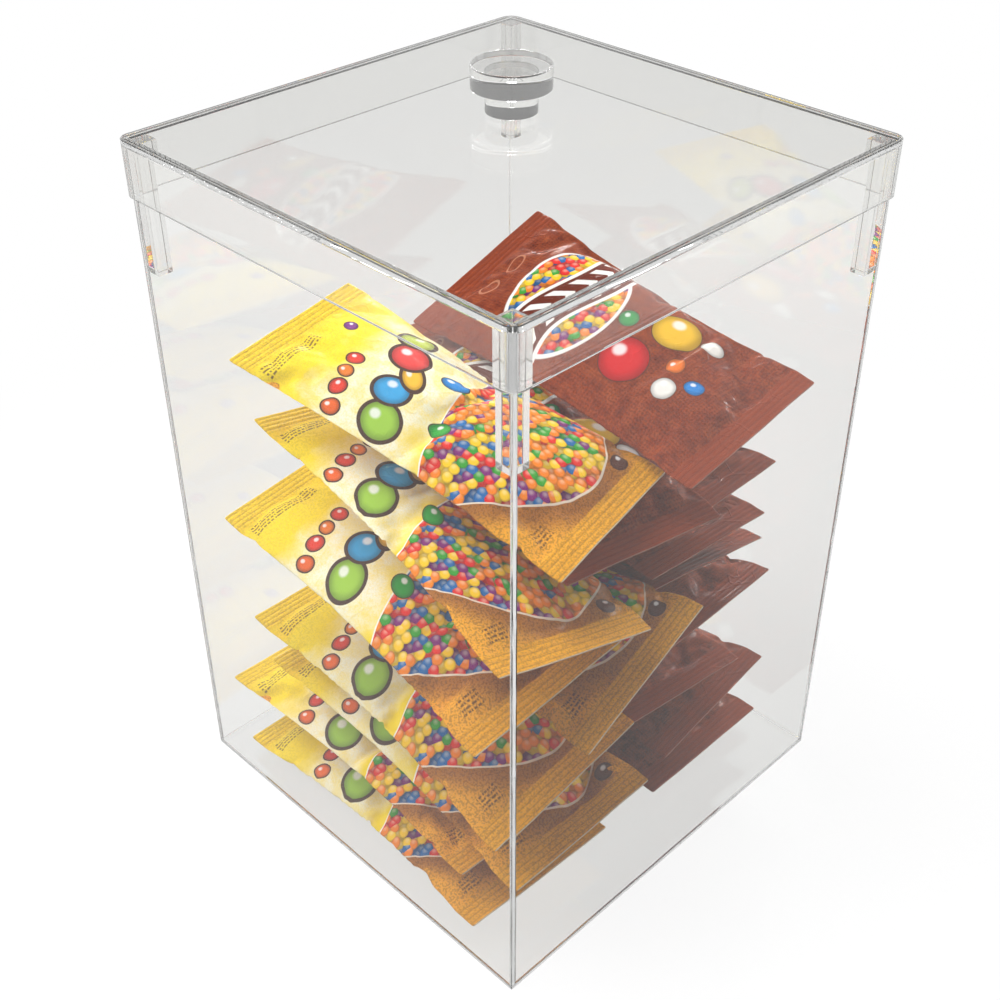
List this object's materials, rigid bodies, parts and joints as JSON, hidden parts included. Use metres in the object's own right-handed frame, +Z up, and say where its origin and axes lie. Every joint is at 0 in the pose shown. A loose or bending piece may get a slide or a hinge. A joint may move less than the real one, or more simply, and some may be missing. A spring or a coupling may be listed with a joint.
{
  "type": "lidded acrylic candy bin",
  "caption": "Square clear acrylic bin with a lift-off skirted lid and a round two-disc knob, holding a heap of sealed candy packs.",
  "frame": {"origin": "middle of the underside of the floor panel", "axes": "+Z up, +X right, -Y front; the bin is square, and the knob is set back from the middle of the lid to the left and rear"},
  "size_m": [0.3, 0.3, 0.477],
  "materials": {
    "clear_acrylic": "clear cast acrylic sheet and rod with polished faces and edges",
    "yellow_pack_film": "glossy printed plastic film pillow pack, filled with sugar-coated candies",
    "brown_pack_film": "glossy printed plastic film pillow pack, filled with sugar-coated candies"
  },
  "bodies": {
    "bin": {"floor_panel": "clear_acrylic", "front_wall": "clear_acrylic", "rear_wall": "clear_acrylic", "left_wall": "clear_acrylic", "right_wall": "clear_acrylic", "corner_bar_front_left": "clear_acrylic", "corner_bar_front_right": "clear_acrylic", "corner_bar_rear_left": "clear_acrylic", "corner_bar_rear_right": "clear_acrylic", "candy_pack_yellow_1": "yellow_pack_film", "candy_pack_yellow_2": "yellow_pack_film", "candy_pack_yellow_3": "yellow_pack_film", "candy_pack_yellow_4": "yellow_pack_film", "candy_pack_yellow_5": "yellow_pack_film", "candy_pack_yellow_6": "yellow_pack_film", "candy_pack_yellow_7": "yellow_pack_film", "candy_pack_yellow_8": "yellow_pack_film", "candy_pack_brown_1": "brown_pack_film", "candy_pack_brown_2": "brown_pack_film", "candy_pack_brown_3": "brown_pack_film", "candy_pack_brown_4": "brown_pack_film", "candy_pack_brown_5": "brown_pack_film", "candy_pack_brown_6": "brown_pack_film", "candy_pack_brown_7": "brown_pack_film", "candy_pack_brown_8": "brown_pack_film", "candy_pack_brown_9": "brown_pack_film"},
    "lid": {"lid_plate": "clear_acrylic", "lid_skirt_right": "clear_acrylic", "lid_skirt_rear": "clear_acrylic", "lid_skirt_left": "clear_acrylic", "lid_skirt_front": "clear_acrylic", "knob_neck": "clear_acrylic", "knob_cap": "clear_acrylic"}
  },
  "joints": [
    {"name": "lid_lift", "type": "slide", "parent": "bin", "child": "lid", "axis": [0, 0, 1], "range_m": [0, 0.15]}
  ]
}
